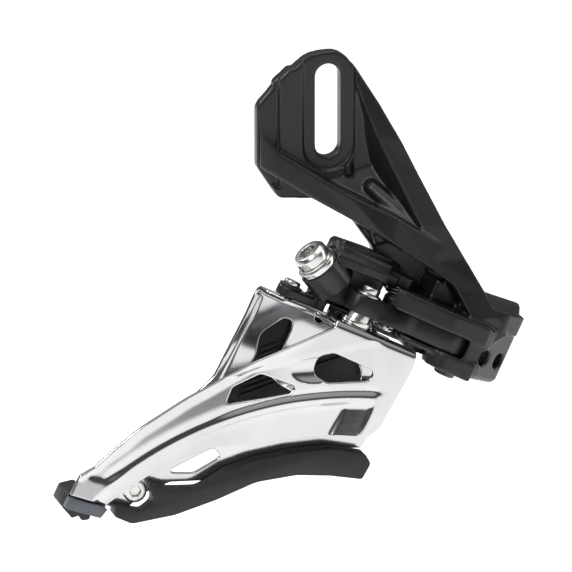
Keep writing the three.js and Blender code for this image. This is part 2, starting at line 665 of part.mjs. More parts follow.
function addInnerPlate() {
  const outline = corners([
    [-62, -76.4, 2], [-56, -67.5, 6], [-46, -60, 10], [-36, -53, 10], [-30.4, -48, 8], [-22.6, -33.2, 6],
    [-20.4, -28.4, 1], [-18.9, -26.3, 0.5], [13.4, -41.4, 1], [12.6, -46, 3], [8.4, -62, 2], [5.4, -67, 1],
    [...polar(75.7, -6), 20], [...polar(76, -18), 12], [-26, -69, 4], [-33, -72.6, 3], [-42, -72.4, 2],
    [-48, -74.6, 3], [-53, -78.4, 3],
  ]);
  const profile = [
    [70, INNER_LOW], [88, INNER_LOW], [93, INNER_HIGH], [118, INNER_HIGH],
  ];
  const sheet = solid(contoured(profile, 66, 144));
  const lowered = [tailBoltHole(), ...INNER_WINDOWS.map((w) => corners(w))];
  const cut = solid(wall(outline, -30, 0, lowered));
  const flangeTop = INNER_FLANGE_TOP;
  const flange = corners([
    [-21.8, 13, 0.5], [-21, 7.4, 2], [-17, 5.2, 2], [-11, 5.4, 2], [-8.4, 6, 1.5], [-7.4, 5, 1.5], [-5, -3.2, 2.5],
    [5, -3.2, 2.5], [7, 5, 2], [7.4, 8, 2], [10, 11, 1], [14.6, 11.4, 0], [14.6, 13, 0],
  ]);
  const holes = [disc(B.x, B.y, PIN_R + RUN), disc(A.x, A.y, PIN_R + RUN)];
  const top = leaned(column(flange, flangeTop - SHEET, flangeTop, holes));
  const trim = leaned(column(corners([[-60, -60], [60, -60], [60, 60], [-60, 60]]), flangeTop, 40));
  const rivets = FLANGE_RIVETS.map((p) => leaned(column(disc(p.x, p.y, 1 + RUN), -9, 9)));
  const notch = wall(stadium({ x: -4, y: -35 }, { x: -2, y: -30 }, 1.15, 1.15), -13, -8);
  const body = sheet.intersect(cut).add(solid(top));
  part('cage_inner_plate', shaped(subtractAll(body, [trim, notch, ...rivets])), CHROME);
}

// A small stop pad on the inner flange, under the cable arm's shelf.
function addFlangeStop() {
  const pad = stadium({ x: -3.4, y: 9.2 }, { x: -0.4, y: 8.8 }, 1.4);
  part('flange_stop', column(pad, INNER_FLANGE_TOP + GAP, 0.2), BLACK_PLASTIC, linkage);
}

function addFlangeRivets() {
  FLANGE_RIVETS.forEach((at, i) => {
    const low = INNER_FLANGE_TOP - SHEET - 0.1;
    const top = OUTER_FLANGE_TOP + 0.1;
    const body = turned([
      [0, low - 0.6], [1.4, low - 0.6], [1.7, low], [1, low], [1, top], [1.6, top], [1.2, top + 0.6], [0, top + 0.6],
    ], 16);
    addAt(at, `flange_rivet_${i + 1}`, body, STEEL);
  });
}

// A ribbed plastic backing behind the inner plate, seen through both plates' windows.
function addBacking() {
  const outline = corners([
    [-20.9, -33.0, 1], [-7.3, -32.1, 1], [0.2, -35.5, 1], [1.2, -40.8, 2], [6.4, -42.6, 2],
    [8.2, -46.8, 2], [7.6, -54.7, 2], [-8.6, -55.3, 3], [-26.8, -59.1, 2], [-30.0, -55.3, 3],
    [-23.8, -45.8, 5],
  ]);
  const front = INNER_HIGH + SHEET + GAP;
  const ribs = BACKING_RIBS.map(([x, z, length]) => {
    const end = { x: x + length, y: z + length * 0.3 };
    return wall(stadium({ x, y: z }, end, 0.3, 0.3, 4), front, front + 0.8);
  });
  part('cage_backing', joined([wall(outline, front + 0.6, front + 2.2), ...ribs]), BLACK_PLASTIC, derailleur);
}

const BACKING_RIBS = [
  [-18, -42.4, 4], [-18.4, -43.9, 4], [-18.8, -45.4, 3.6], [-20.6, -49, 5], [-21.6, -50.6, 7], [-22.6, -52.2, 9],
  [-23.4, -53.8, 11], [-7.4, -44.4, 9], [-7.4, -46.4, 9], [-7.4, -48.4, 9],
];

// ---- tail of the cage ----
const TAIL_BOLT = { x: -50.9, z: -73.7 };

function tailBoltHole() {
  return disc(TAIL_BOLT.x, TAIL_BOLT.z, 1.6 + RUN, 20);
}

function addTail() {
  const block = corners([
    [-70.9, -73.8, 0.8], [-69.4, -70.6, 1], [-66, -70, 1], [-60, -73.4, 1], [-60.8, -75, 0.6], [-64, -75.8, 0.5],
    [-64.3, -77.2, 0.8], [-66.4, -77.4, 0.8], [-66.7, -76, 0.5], [-68.6, -76.6, 0.6],
  ]);
  const near = OUTER_FACE + SHEET + GAP + STEP;
  part('tail_block', wall(block, near, INNER_LOW - GAP), BLACK_PLASTIC);
  const tip = corners([
    [-70.9, -73.3, 0.5], [-69.7, -70.9, 0], [-60.5, -74.1, 0.3], [-62.3, -76.2, 0.6],
  ]);
  part('tail_tip', wall(tip, OUTER_FACE - 0.6, near - GAP), GREY_PLASTIC);
}

function addTailBolt() {
  const body = turned([
    [0, 0], [2.5, 0], [2.9, -0.4], [2.9, -1.4], [1.6, -1.4], [1.6, -3.4], [0, -3.4],
  ], 24);
  const bolt = part('tail_bolt', joined([body], [column(disc(0, 0, 1.45, 6), -0.9, 1)]), STEEL);
  placeAlong(bolt, new THREE.Vector3(TAIL_BOLT.x, INNER_LOW - 1.5, TAIL_BOLT.z), new THREE.Vector3(0, -1, 0));
  const nut = part('tail_nut', column(disc(0, 0, 2.8, 6), 0, 1.6, [disc(0, 0, 1.6 + RUN)]), STEEL);
  const back = new THREE.Vector3(TAIL_BOLT.x, INNER_LOW + SHEET + 0.1, TAIL_BOLT.z);
  placeAlong(nut, back, new THREE.Vector3(0, 1, 0));
}

// ---- skid plate: the plastic wear pad under the inner plate ----
function addSkidPlate() {
  const outline = corners([
    [-57, -78.6, 1], [-56.6, -76.4, 0.6], [-53.6, -76.9, 1.5], [-50, -78, 2], [-47.2, -75.8, 2],
    [-47.6, -71.3, 0.6], [-43, -72.9, 3], [-36, -73.2, 5], [-29.4, -69.4, 5], [-22.5, -67.3, 10], [-13, -65.8, 20],
    [-3.3, -65.4, 10], [5, -67.2, 1], [6.4, -69.6, 1.5], [4.2, -73.4, 1], [-3.8, -72, 5], [-12, -71.3, 10],
    [-22, -72.4, 10], [-32, -76.2, 10], [-42, -79.2, 10], [-52.6, -80.7, 3],
  ]);
  part('skid_plate', wall(outline, SKID_FACE, INNER_LOW - GAP), BLACK_PLASTIC);
}

derailleur.name = 'front_derailleur';
addBracket();
addPins();
addBushes();
addOuterLink();
addInnerLink();
addClamp();
addSpring();
addStopLiner();
addLimitScrews();
addOuterPlate();
addInnerPlate();
addBacking();
addFlangeRivets();
addFlangeStop();
addTail();
addTailBolt();
addSkidPlate();

export default derailleur;
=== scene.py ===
"""The front derailleur's looks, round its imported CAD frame. Lengths are metres, and MM is a millimetre."""

import json
import math

import bmesh
import bpy
import numpy as np
from mathutils import Matrix, Vector
from mathutils.geometry import delaunay_2d_cdt


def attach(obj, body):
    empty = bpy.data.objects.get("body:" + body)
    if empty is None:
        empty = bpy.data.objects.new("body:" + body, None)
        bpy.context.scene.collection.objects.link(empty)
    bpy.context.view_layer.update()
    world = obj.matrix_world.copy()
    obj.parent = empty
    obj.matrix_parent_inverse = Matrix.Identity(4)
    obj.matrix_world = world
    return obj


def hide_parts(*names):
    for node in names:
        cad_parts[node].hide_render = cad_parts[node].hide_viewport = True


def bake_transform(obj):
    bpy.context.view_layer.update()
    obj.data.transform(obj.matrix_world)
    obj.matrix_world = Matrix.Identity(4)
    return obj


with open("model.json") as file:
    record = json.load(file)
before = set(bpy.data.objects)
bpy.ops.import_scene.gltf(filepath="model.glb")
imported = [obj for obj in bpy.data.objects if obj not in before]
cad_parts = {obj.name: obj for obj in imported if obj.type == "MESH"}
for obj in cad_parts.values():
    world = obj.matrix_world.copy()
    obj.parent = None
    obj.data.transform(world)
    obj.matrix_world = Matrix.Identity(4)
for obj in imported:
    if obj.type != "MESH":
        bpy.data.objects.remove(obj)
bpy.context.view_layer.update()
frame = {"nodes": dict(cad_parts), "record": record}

MM = 0.001
TAU = 2 * math.pi

# ---------------------------------------------------------------- places, as in the CAD
LEAN = math.radians(25)
LINKAGE_AT = Vector((2, -24, -33.5)) * MM
LINKAGE = Matrix.Translation(LINKAGE_AT) @ Matrix.Rotation(LEAN, 4, "Y")
SHEET = 1.2
CRANK = (-5.4, -142.3)
OUTER_FACE = -29.5
STEP_R = 90.8
OUTER_FLANGE_TOP = -0.5
INNER_FLANGE_TOP = -2.0
PIN_HOLE = 1.62
RIVET_HOLE = 1.12
RIVETS = ((-4.1, 4.2), (4.1, 4.2))
PIVOT_B = (-15.8, 9.0)


# ---------------------------------------------------------------- node helpers
class Nodes:
    """A material's node tree, with short calls that add and wire nodes."""

    def __init__(self, name):
        self.material = bpy.data.materials.new(name)
        self.material.use_nodes = True
        self.tree = self.material.node_tree
        self.shader = self.tree.nodes["Principled BSDF"]

    def add(self, kind, **inputs):
        node = self.tree.nodes.new("ShaderNode" + kind)
        for key, value in inputs.items():
            slot = node.inputs[key.replace("_", " ")]
            if isinstance(value, bpy.types.NodeSocket):
                self.tree.links.new(value, slot)
            else:
                slot.default_value = value
        return node

    def set(self, **inputs):
        for key, value in inputs.items():
            slot = self.shader.inputs[key.replace("_", " ")]
            if isinstance(value, bpy.types.NodeSocket):
                self.tree.links.new(value, slot)
            else:
                slot.default_value = value

    def place(self):
        return self.add("TexCoord").outputs["Object"]

    def noise(self, scale, detail=3.0, rough=0.5, vector=None):
        node = self.add("TexNoise", Scale=scale, Detail=detail, Roughness=rough)
        self.tree.links.new(vector or self.place(), node.inputs["Vector"])
        return node.outputs["Fac"]

    def stretch(self, scale):
        node = self.add("Mapping", Scale=scale)
        self.tree.links.new(self.place(), node.inputs["Vector"])
        return node.outputs["Vector"]

    def ramp(self, fac, low, high, start=0.3, end=0.7):
        node = self.add("ValToRGB", Fac=fac)
        for stop, at, tone in zip(node.color_ramp.elements, (start, end), (low, high)):
            stop.position = at
            stop.color = (*tone, 1) if isinstance(tone, tuple) else (tone, tone, tone, 1)
        return node.outputs["Color"]

    def bump(self, height, strength, distance):
        return self.add("Bump", Height=height, Strength=strength, Distance=distance).outputs["Normal"]


# ---------------------------------------------------------------- materials
def painted_alloy():
    """Satin black paint on cast aluminium: a fine powder texture with a slow drift in tone."""
    n = Nodes("painted_alloy")
    grain = n.noise(9000, 2, 0.6)
    drift = n.noise(90, 3)
    color = n.ramp(drift, (0.0072, 0.0074, 0.0083), (0.0105, 0.0108, 0.0118))
    rough = n.ramp(drift, 0.3, 0.38)
    n.set(Base_Color=color, Roughness=rough, Normal=n.bump(grain, 0.35, 0.00004))
    n.shader.inputs["Specular IOR Level"].default_value = 0.42
    return n.material


def link_paint():
    """The links' smoother black finish."""
    n = Nodes("link_paint")
    grain = n.noise(7000, 2, 0.5)
    color = n.ramp(n.noise(200, 3), (0.0045, 0.0046, 0.0052), (0.007, 0.0071, 0.0078))
    n.set(Base_Color=color, Roughness=n.ramp(grain, 0.3, 0.4), Normal=n.bump(grain, 0.2, 0.00003))
    return n.material


def bright_plate():
    """Plated and brushed sheet steel, brightest on its edges."""
    n = Nodes("bright_plate")
    brushed = n.noise(1.0, 4, 0.6, n.stretch((500, 500, 9000)))
    cloud = n.noise(60, 3)
    color = n.ramp(cloud, (0.53, 0.535, 0.545), (0.61, 0.615, 0.62))
    n.set(Base_Color=color, Metallic=1.0, Roughness=n.ramp(brushed, 0.1, 0.16))
    n.set(Normal=n.bump(brushed, 0.05, 0.00002))
    return n.material


def turned_steel():
    """Pins, washers and screws: plated steel with fine turning marks."""
    n = Nodes("turned_steel")
    marks = n.noise(5000, 2, 0.6)
    color = n.ramp(n.noise(300, 2), (0.56, 0.555, 0.54), (0.64, 0.635, 0.62))
    n.set(Base_Color=color, Metallic=1.0, Roughness=n.ramp(marks, 0.18, 0.26))
    n.set(Normal=n.bump(marks, 0.04, 0.00001))
    return n.material


def black_plastic():
    """Moulded nylon for the skid plate and tail block, with a fine spark texture."""
    n = Nodes("black_plastic")
    grain = n.noise(6000, 3, 0.6)
    color = n.ramp(n.noise(150, 3), (0.0042, 0.0042, 0.0045), (0.007, 0.007, 0.0074))
    n.set(Base_Color=color, Roughness=n.ramp(grain, 0.42, 0.56), Normal=n.bump(grain, 0.3, 0.00004))
    return n.material


def grey_plastic():
    """Slate grey moulded tip."""
    n = Nodes("grey_plastic")
    grain = n.noise(6000, 3, 0.6)
    color = n.ramp(n.noise(200, 3), (0.075, 0.083, 0.096), (0.095, 0.104, 0.12))
    n.set(Base_Color=color, Roughness=n.ramp(grain, 0.4, 0.52), Normal=n.bump(grain, 0.25, 0.00004))
    return n.material


def pale_floor():
    n = Nodes("pale_floor")
    tone = n.ramp(n.noise(3, 2), 0.88, 0.9)
    n.set(Base_Color=tone, Roughness=0.9, Emission_Color=(1, 1, 1, 1), Emission_Strength=0.5)
    return n.material


def dark_steel_and_painted_shade():
    """Dark steel, much darker than the pins and washers; on the flange rivets and the outer housing pin this
    darkness is painted shade.
    """
    n = Nodes("dark_steel_and_painted_shade")
    marks = n.noise(3000, 2, 0.6)
    n.set(Base_Color=n.ramp(marks, 0.05, 0.09), Metallic=1.0, Roughness=n.ramp(marks, 0.3, 0.42))
    return n.material


MATERIALS = {
    "black_metal": painted_alloy(),
    "link_paint": link_paint(),
    "chrome": bright_plate(),
    "steel": turned_steel(),
    "spring": dark_steel_and_painted_shade(),
    "black_plastic": black_plastic(),
    "grey_plastic": grey_plastic(),
}


def paint(obj, material):
    obj.data.materials.clear()
    obj.data.materials.append(MATERIALS[material])


# ---------------------------------------------------------------- outlines
def corners(points, steps=8):
    """A closed outline through [x, y, fillet radius] corners."""
    out = []
    for i, point in enumerate(points):
        corner = Vector(point[:2])
        radius = point[2] if len(point) > 2 else 0
        if not radius:
            out.append(corner)
            continue
        back = Vector(points[i - 1][:2]) - corner
        ahead = Vector(points[(i + 1) % len(points)][:2]) - corner
        half = max(back.angle(ahead) / 2, 1e-3)
        reach = min(radius / math.tan(half), back.length * 0.49, ahead.length * 0.49)
        start = corner + back.normalized() * reach
        end = corner + ahead.normalized() * reach
        for k in range(steps + 1):
            t = k / steps
            out.append(start * (1 - t) ** 2 + corner * 2 * t * (1 - t) + end * t * t)
    return out


def circle(x, y, r, n=40):
    return [Vector((x + r * math.cos(TAU * i / n), y + r * math.sin(TAU * i / n))) for i in range(n)]


def slot_hole(x, low, high, r, n=16):
    """A round-ended vertical slot."""
    turns = [math.pi * i / n for i in range(n + 1)]
    top = [Vector((x + r * math.cos(t), high + r * math.sin(t))) for t in turns]
    return top + [Vector((2 * x - p.x, low + high - p.y)) for p in top]


def resampled(loop, step):
    out = []
    for i, p in enumerate(loop):
        q = loop[(i + 1) % len(loop)]
        pieces = max(1, math.ceil((q - p).length / step))
        out += [p.lerp(q, k / pieces) for k in range(pieces) if (q - p).length > 1e-6]
    return out


def on_ring(r, x):
    """A point on the circle of radius r about the crank."""
    return (x, CRANK[1] + math.sqrt(r * r - (x - CRANK[0]) ** 2))


def to_sheet(x, z):
    """World X and Z to the linkage's forward and upward axes."""
    x, z = x - 2, z + 33.5
    return (x * math.cos(LEAN) - z * math.sin(LEAN), x * math.sin(LEAN) + z * math.cos(LEAN))


def from_sheet(u, v):
    """The linkage's forward and upward axes to world X and Z."""
    return (2 + u * math.cos(LEAN) + v * math.sin(LEAN), -33.5 - u * math.sin(LEAN) + v * math.cos(LEAN))


# ---------------------------------------------------------------- folded sheet metal
def edge_distance(points, loops):
    """Each point's distance to the nearest loop."""
    p = np.array(points)[:, None, :]
    best = np.full(len(points), 1e9)
    for loop in loops:
        a = np.array([list(v) for v in loop])
        b = np.roll(a, -1, axis=0)
        d = b - a
        t = np.clip(((p - a) * d).sum(2) / np.maximum((d * d).sum(1), 1e-12), 0, 1)
        near = np.sqrt((((a + t[..., None] * d) - p) ** 2).sum(2)).min(1)
        best = np.minimum(best, near)
    return best


def inside(points, loop):
    """Whether each point lies within a closed loop."""
    p = np.array(points)
    a = np.array([list(v) for v in loop])
    b = np.roll(a, -1, axis=0)
    x, y = p[:, None, 0], p[:, None, 1]
    crosses = (a[:, 1] > y) != (b[:, 1] > y)
    rise = np.where(b[:, 1] == a[:, 1], 1e-12, b[:, 1] - a[:, 1])
    at = a[:, 0] + (y - a[:, 1]) * (b[:, 0] - a[:, 0]) / rise
    return ((crosses & (x < at)).sum(1) % 2) == 1


def inset(loop, distance):
    """The loop's points moved to its left by a distance."""
    out = []
    for i, p in enumerate(loop):
        along = (loop[(i + 1) % len(loop)] - loop[i - 1]).normalized()
        out.append(p + Vector((-along.y, along.x)) * distance)
    return out


def signed_area(loop):
    return sum(p.cross(loop[(i + 1) % len(loop)]) for i, p in enumerate(loop)) / 2


def finished(name, mesh):
    bmesh.ops.recalc_face_normals(mesh, faces=mesh.faces)
    data = bpy.data.meshes.new(name)
    mesh.to_mesh(data)
    mesh.free()
    data.shade_smooth()
    obj = bpy.data.objects.new(name, data)
    bpy.context.collection.objects.link(obj)
    return obj


ROUND = 0.28
RINGS = (0.08, 0.3, 0.62, 1.0, 1.6)
GRID = 0.45
EDGE_STEP = 0.4


def flat_mesh(outline, holes):
    """Triangles that fill an outline less its holes, with rings of points just inside every edge."""
    loops = [resampled(loop, EDGE_STEP) for loop in (outline, *holes)]
    loops = [loop if (signed_area(loop) > 0) == (k == 0) else loop[::-1] for k, loop in enumerate(loops)]
    verts, edges = [], []
    for loop in loops:
        first = len(verts)
        verts += loop
        edges += [(first + i, first + (i + 1) % len(loop)) for i in range(len(loop))]
    extra = [p for loop in loops for ring in RINGS for p in inset(loop, ring * ROUND)]
    box = np.array([list(p) for p in loops[0]])
    lo, hi = box.min(0), box.max(0)
    columns, rows = (int(span / GRID) + 1 for span in hi - lo)
    grid = [Vector((lo[0] + i * GRID, lo[1] + j * GRID)) for i in range(columns) for j in range(rows)]
    away = edge_distance([list(p) for p in extra + grid], loops)
    ring_of = [ring * ROUND for loop in loops for ring in RINGS for _ in loop] + [ROUND * 2.2] * len(grid)
    pool = [p for p, d, want in zip(extra + grid, away, ring_of) if d > want * 0.93]
    keep = inside([list(p) for p in pool], loops[0])
    for hole in loops[1:]:
        keep &= ~inside([list(p) for p in pool], hole)
    verts += [p for p, k in zip(pool, keep) if k]
    out, _, tris, *_ = delaunay_2d_cdt(verts, edges, [], 0, 1e-7)
    centres = [list((out[t[0]] + out[t[1]] + out[t[2]]) / 3) for t in tris]
    good = inside(centres, loops[0])
    for hole in loops[1:]:
        good &= ~inside(centres, hole)
    return out, [t for t, g in zip(tris, good) if g], loops


def folded_sheet(name, outline, holes, place):
    """A plate of the sheet's thickness with rounded edges. place(u, v, depth) gives a point."""
    flat, tris, loops = flat_mesh(outline, holes)
    away = edge_distance([list(p) for p in flat], loops)
    drop = np.where(away < ROUND, ROUND - np.sqrt(np.maximum(ROUND**2 - (ROUND - away) ** 2, 0)), 0)
    mesh = bmesh.new()
    sides = []
    for sign, base in ((1, 0.0), (-1, SHEET)):
        sides.append([
            mesh.verts.new(LINKAGE @ (Vector(place(p.x, p.y, base + sign * d)) * MM))
            for p, d in zip(flat, drop)
        ])
    for a, b, c in tris:
        mesh.faces.new([sides[0][i] for i in (a, b, c)])
        mesh.faces.new([sides[1][i] for i in (c, b, a)])
    edges = [pair for tri in tris for pair in zip(tri, tri[1:] + tri[:1])]
    known = set(edges)
    for i, j in edges:
        if (j, i) not in known:
            mesh.faces.new([sides[0][j], sides[0][i], sides[1][i], sides[1][j]])
    return finished(name, mesh)


def smooth(low, high, x):
    t = min(1.0, max(0.0, (x - low) / (high - low)))
    return t * t * (3 - 2 * t)


BEND = 0.7


def fold(v, depth, rise, face, side):
    """Where a point at height v goes when the sheet bends over at height rise, towards side.

    face is the depth of the surface on the outside of the bend. Gives (b, c) in the linkage frame.
    """
    middle = BEND + SHEET / 2
    r = BEND + SHEET - depth
    turn = (v - rise) / middle
    if turn <= 0:
        return face + side * depth, v
    if turn < math.pi / 2:
        return face + side * (BEND + SHEET - r * math.cos(turn)), rise + r * math.sin(turn)
    return face + side * (BEND + SHEET + (v - rise) - middle * math.pi / 2), rise + r


def flange_v(b, rise, face, side):
    """The flat pattern's height for a point of the flange at depth b."""
    middle = BEND + SHEET / 2
    return rise + middle * math.pi / 2 + (side * (b - face) - BEND - SHEET)


# ---------------------------------------------------------------- cage, outer plate
OUTER_B = OUTER_FACE + 24
OUTER_RISE = OUTER_FLANGE_TOP - BEND - SHEET
PANEL = 1.6
PANEL_TOP = -51.6
TAIL_FOOT = -73.7
CHANNEL_SLOPE = 0.13
FACET_SLOPE = 0.108
GROOVE_SLOPE = 0.23
TAIL_SLOPE = 0.11
TOP_EDGE = ((-66.9, -65.8), (-63.2, -64), (-53, -55.2), (-41, -48.2), (-25, -40.6), (-4.8, -33.2), (10, -30))


def path_distance(x, z, path):
    best = 1e9
    for (ax, az), (bx, bz) in zip(path, path[1:]):
        dx, dz = bx - ax, bz - az
        t = min(1, max(0, ((x - ax) * dx + (z - az) * dz) / (dx * dx + dz * dz)))
        best = min(best, math.hypot(x - ax - t * dx, z - az - t * dz))
    return best


def below_top_edge(x, z):
    """Distance from the plate's upper rear edge."""
    return path_distance(x, z, TOP_EDGE)


def crank_radius(x, z):
    return math.hypot(x - CRANK[0], z - CRANK[1])


def panel_depth(x, z):
    """The recessed lower panel: a step along an arc, a flat floor, and a sloping facet at its front end."""
    step = smooth(STEP_R + 0.7, STEP_R - 1.9, crank_radius(x, z))
    rear, front = -2.8 + (z + 54.9) * 0.56, 5.3 + (z + 52.5) * 0.43
    lower = PANEL * (0.55 + 0.45 * (front - x) / (front - rear)) - FACET_SLOPE * (PANEL_TOP - z)
    facet = min(PANEL, max(0.05, lower)) * smooth(0, 0.8, front - x)
    toward_facet = smooth(rear - 0.6, rear + 0.6, x)
    return step * (PANEL * (1 - toward_facet) + facet * toward_facet)


def groove_depth(x, z):
    """The groove along the top of the panel: steep above, with a gentle slope up to its lower lip."""
    above = crank_radius(x, z) - STEP_R - 0.6
    slope = GROOVE_SLOPE * min(2.0, max(0, above))
    return slope * smooth(2.7, 2.1, above) * smooth(-62, -58, x) * smooth(6.5, 4.5, x)


def channel_depth(x, z):
    """The pressed channel along the tail: deepest under its upper rim, then rising to a flat lower strip."""
    drop = below_top_edge(x, z) - 1.3
    rise = crank_radius(x, z) - STEP_R - 4.2
    if drop <= 0 or rise <= 0:
        return 0
    rear_end = smooth(-64.4, -61.8, x + 0.35 * (z + 63))
    return CHANNEL_SLOPE * rise * smooth(0, 1.1, drop) * rear_end * smooth(-14, -26, x)


def tail_depth(x, z):
    """The tail's end leans back towards its top, with a crescent-shaped step across it."""
    above = z + 68.1 - 0.075 * (x + 60.6) ** 2
    along = smooth(-67, -65.5, x) * smooth(-54.5, -57, x)
    crescent = min(1.3, max(0, above)) * smooth(4.5, 1.3, above) * along
    return TAIL_SLOPE * max(0, z - TAIL_FOOT) * smooth(-54, -62, x) + 0.1 * crescent


def dish_depth(x, z):
    """The scoop that leads into the front window."""
    span = ((x + 9.3) / 6.2) ** 2 + ((z + 43.3) / 3.1) ** 2
    return max(0, 1 - span) ** 0.8


def window_band_depth(x, z):
    """The shallow lens-shaped field that both windows lie in."""
    along = smooth(-36, -28, x) * smooth(8.5, 4, x)
    middle = -45.4 + 0.17 * (x + 13)
    above = smooth(5.2, 4.3, abs(z - middle)) if z > middle else 1
    return 0.4 * along * above * smooth(STEP_R + 1.5, STEP_R + 2.6, crank_radius(x, z))


def outer_relief(u, v):
    """How far the outer plate's face is pressed inboard."""
    x, z = from_sheet(u, v)
    bead = 0.3 * smooth(0.4, 1.3, below_top_edge(x, z)) * smooth(-8, -16, x)
    below = panel_depth(x, z) + channel_depth(x, z) + groove_depth(x, z) + tail_depth(x, z)
    return below + dish_depth(x, z) + window_band_depth(x, z) + bead


def place_outer(u, v, depth):
    b, c = fold(v, depth, OUTER_RISE, OUTER_B, 1)
    if v < OUTER_RISE:
        b += outer_relief(u, v)
    return u, b, c


def cage_outer_plate():
    body = [
        (-69.4, -70.5, 0.5), (-66.9, -65.8, 1), (-63.2, -64, 1.5), (-53, -55.2, 30), (-41, -48.2, 60),
        (-25, -40.6, 60), (-4.8, -33.2, 0.8),
    ]
    lower = [
        (14.6, -44.6, 6), (6.6, -58.4, 3), (3.4, -60.9, 2), (*on_ring(82.3, -6), 20),
        (*on_ring(82.8, -20), 20), (*on_ring(85.8, -33), 10), (*on_ring(87.2, -43), 20),
        (*on_ring(87.4, -52), 20), (-60.3, -73.7, 0.4),
    ]
    flange = [(-6.1, -3, 2), (-6.2, 6.2, 2), (6.2, 6.2, 2), (6.3, 0, 3), (8.4, -3, 1.5), (15.2, -3.3, 0.5)]
    outline = [(*to_sheet(x, z), r) for x, z, r in body]
    outline += [(u, flange_v(b, OUTER_RISE, OUTER_B, 1), r) for u, b, r in flange]
    outline += [(*to_sheet(x, z), r) for x, z, r in lower]
    windows = [
        [(-31.4, -50.6, 0.8), (-29.6, -46.6, 2), (-22.6, -43.7, 2), (-14, -47.2, 1.2), (-15.6, -49, 1.5)],
        [
            (-9.9, -44.6, 2.5), (-8.6, -40, 2.5), (-4.6, -39.6, 3), (5.2, -44.6, 1.6), (3.8, -47, 2),
            (-6.4, -46.8, 3),
        ],
    ]
    holes = [corners([(*to_sheet(x, z), r) for x, z, r in w]) for w in windows]
    holes.append(circle(0, flange_v(0, OUTER_RISE, OUTER_B, 1), PIN_HOLE))
    holes += [circle(u, flange_v(b, OUTER_RISE, OUTER_B, 1), RIVET_HOLE) for u, b in RIVETS]
    return folded_sheet("outer_plate_sheet", corners(outline), holes, place_outer)


# ---------------------------------------------------------------- cage, inner plate
INNER_B = -12 + 24 + SHEET
INNER_RISE = INNER_FLANGE_TOP - BEND - SHEET


REAR_EDGE = ((-56, -67.5), (-46, -60), (-36, -53), (-30.4, -48), (-22.6, -33.2), (-20.4, -28.4))


def behind_rear_edge(x, z):
    return path_distance(x, z, REAR_EDGE)


def place_inner(u, v, depth):
    b, c = fold(v, depth, INNER_RISE, INNER_B, -1)
    if v < INNER_RISE:
        x, z = from_sheet(u, v)
        b -= 4 * smooth(93, 88, crank_radius(x, z)) + 0.5 * smooth(2.4, 1.2, behind_rear_edge(x, z))
    return u, b, c


def cage_inner_plate():
    rear = [
        (-62, -76.4, 2), (-56, -67.5, 6), (-46, -60, 10), (-36, -53, 10), (-30.4, -48, 8), (-22.6, -33.2, 6),
        (-20.4, -28.4, 1),
    ]
    flange = [
        (-21, 7.4, 2), (-17, 5.2, 2), (-11, 5.4, 2), (-8.4, 6, 1.5), (-7.4, 5, 1.5), (-5, -3.2, 2.5),
        (5, -3.2, 2.5), (7, 5, 2), (7.4, 8, 2), (10, 11, 1),
    ]
    lower = [
        (13.4, -41.4, 1), (12.6, -46, 3), (8.4, -62, 2), (5.4, -67, 1), (*on_ring(75.7, -6), 20),
        (*on_ring(76, -18), 12), (-26, -69, 4), (-33, -72.6, 3), (-42, -72.4, 2), (-48, -74.6, 3),
        (-53, -78.4, 3),
    ]
    outline = [(*to_sheet(x, z), r) for x, z, r in rear]
    outline += [(u, flange_v(b, INNER_RISE, INNER_B, -1), r) for u, b, r in flange]
    outline += [(*to_sheet(x, z), r) for x, z, r in lower]
    windows = [
        [
            (-12.9, -34.6, 1.5), (-10.7, -35.4, 1.5), (-11.2, -37.6, 3), (-13.7, -42.9, 6),
            (-17.3, -48.0, 2), (-13.7, -51.2, 4), (-11.0, -52.6, 1.5), (-10.5, -54.3, 2),
            (-26.7, -57.5, 1.5), (-28.4, -54.5, 3), (-22.2, -46.8, 8), (-19.8, -43.5, 6),
            (-19.1, -39.6, 6), (-18.3, -37.7, 4),
        ],
        [
            (-6.0, -42.8, 2), (0.8, -43.7, 3), (5.2, -46.2, 2), (6.2, -49.0, 3), (6.0, -51.9, 2),
            (3.8, -53.2, 2), (-6.0, -53.1, 2),
        ],
        [
            (-43.6, -70, 1), (-31.4, -64.6, 1.5), (-29.2, -66.8, 1.5), (-36, -70.4, 2),
        ],
    ]
    holes = [corners([(*to_sheet(x, z), r) for x, z, r in w]) for w in windows]
    holes.append(circle(*to_sheet(-50.9, -73.7), 1.7))
    holes.append(circle(0, flange_v(0, INNER_RISE, INNER_B, -1), PIN_HOLE))
    holes.append(circle(PIVOT_B[0], flange_v(PIVOT_B[1], INNER_RISE, INNER_B, -1), PIN_HOLE))
    holes += [circle(u, flange_v(b, INNER_RISE, INNER_B, -1), RIVET_HOLE) for u, b in RIVETS]
    holes.append(slot_hole(-4.8, -4.2, flange_v(10.6, INNER_RISE, INNER_B, -1), 1.1))
    return folded_sheet("inner_plate_sheet", corners(outline), holes, place_inner)


# ---------------------------------------------------------------- CAD nodes that stay
def softened(node, voxel, passes):
    """Melts a casting's hard edges into small fillets."""
    obj = frame["nodes"][node]
    remesh = obj.modifiers.new("fillets", "REMESH")
    remesh.mode = "VOXEL"
    remesh.voxel_size = voxel
    remesh.use_smooth_shade = True
    relax = obj.modifiers.new("relax", "SMOOTH")
    relax.iterations = passes
    relax.factor = 0.5


def bevelled(node, width):
    """Rounds the edges of a machined or moulded piece."""
    obj = frame["nodes"][node]
    weld = obj.modifiers.new("weld", "WELD")
    weld.merge_threshold = 1e-6
    bevel = obj.modifiers.new("edges", "BEVEL")
    bevel.width = width
    bevel.segments = 3
    bevel.limit_method = "ANGLE"
    bevel.angle_limit = math.radians(40)
    bevel.harden_normals = True
    obj.data.shade_smooth()


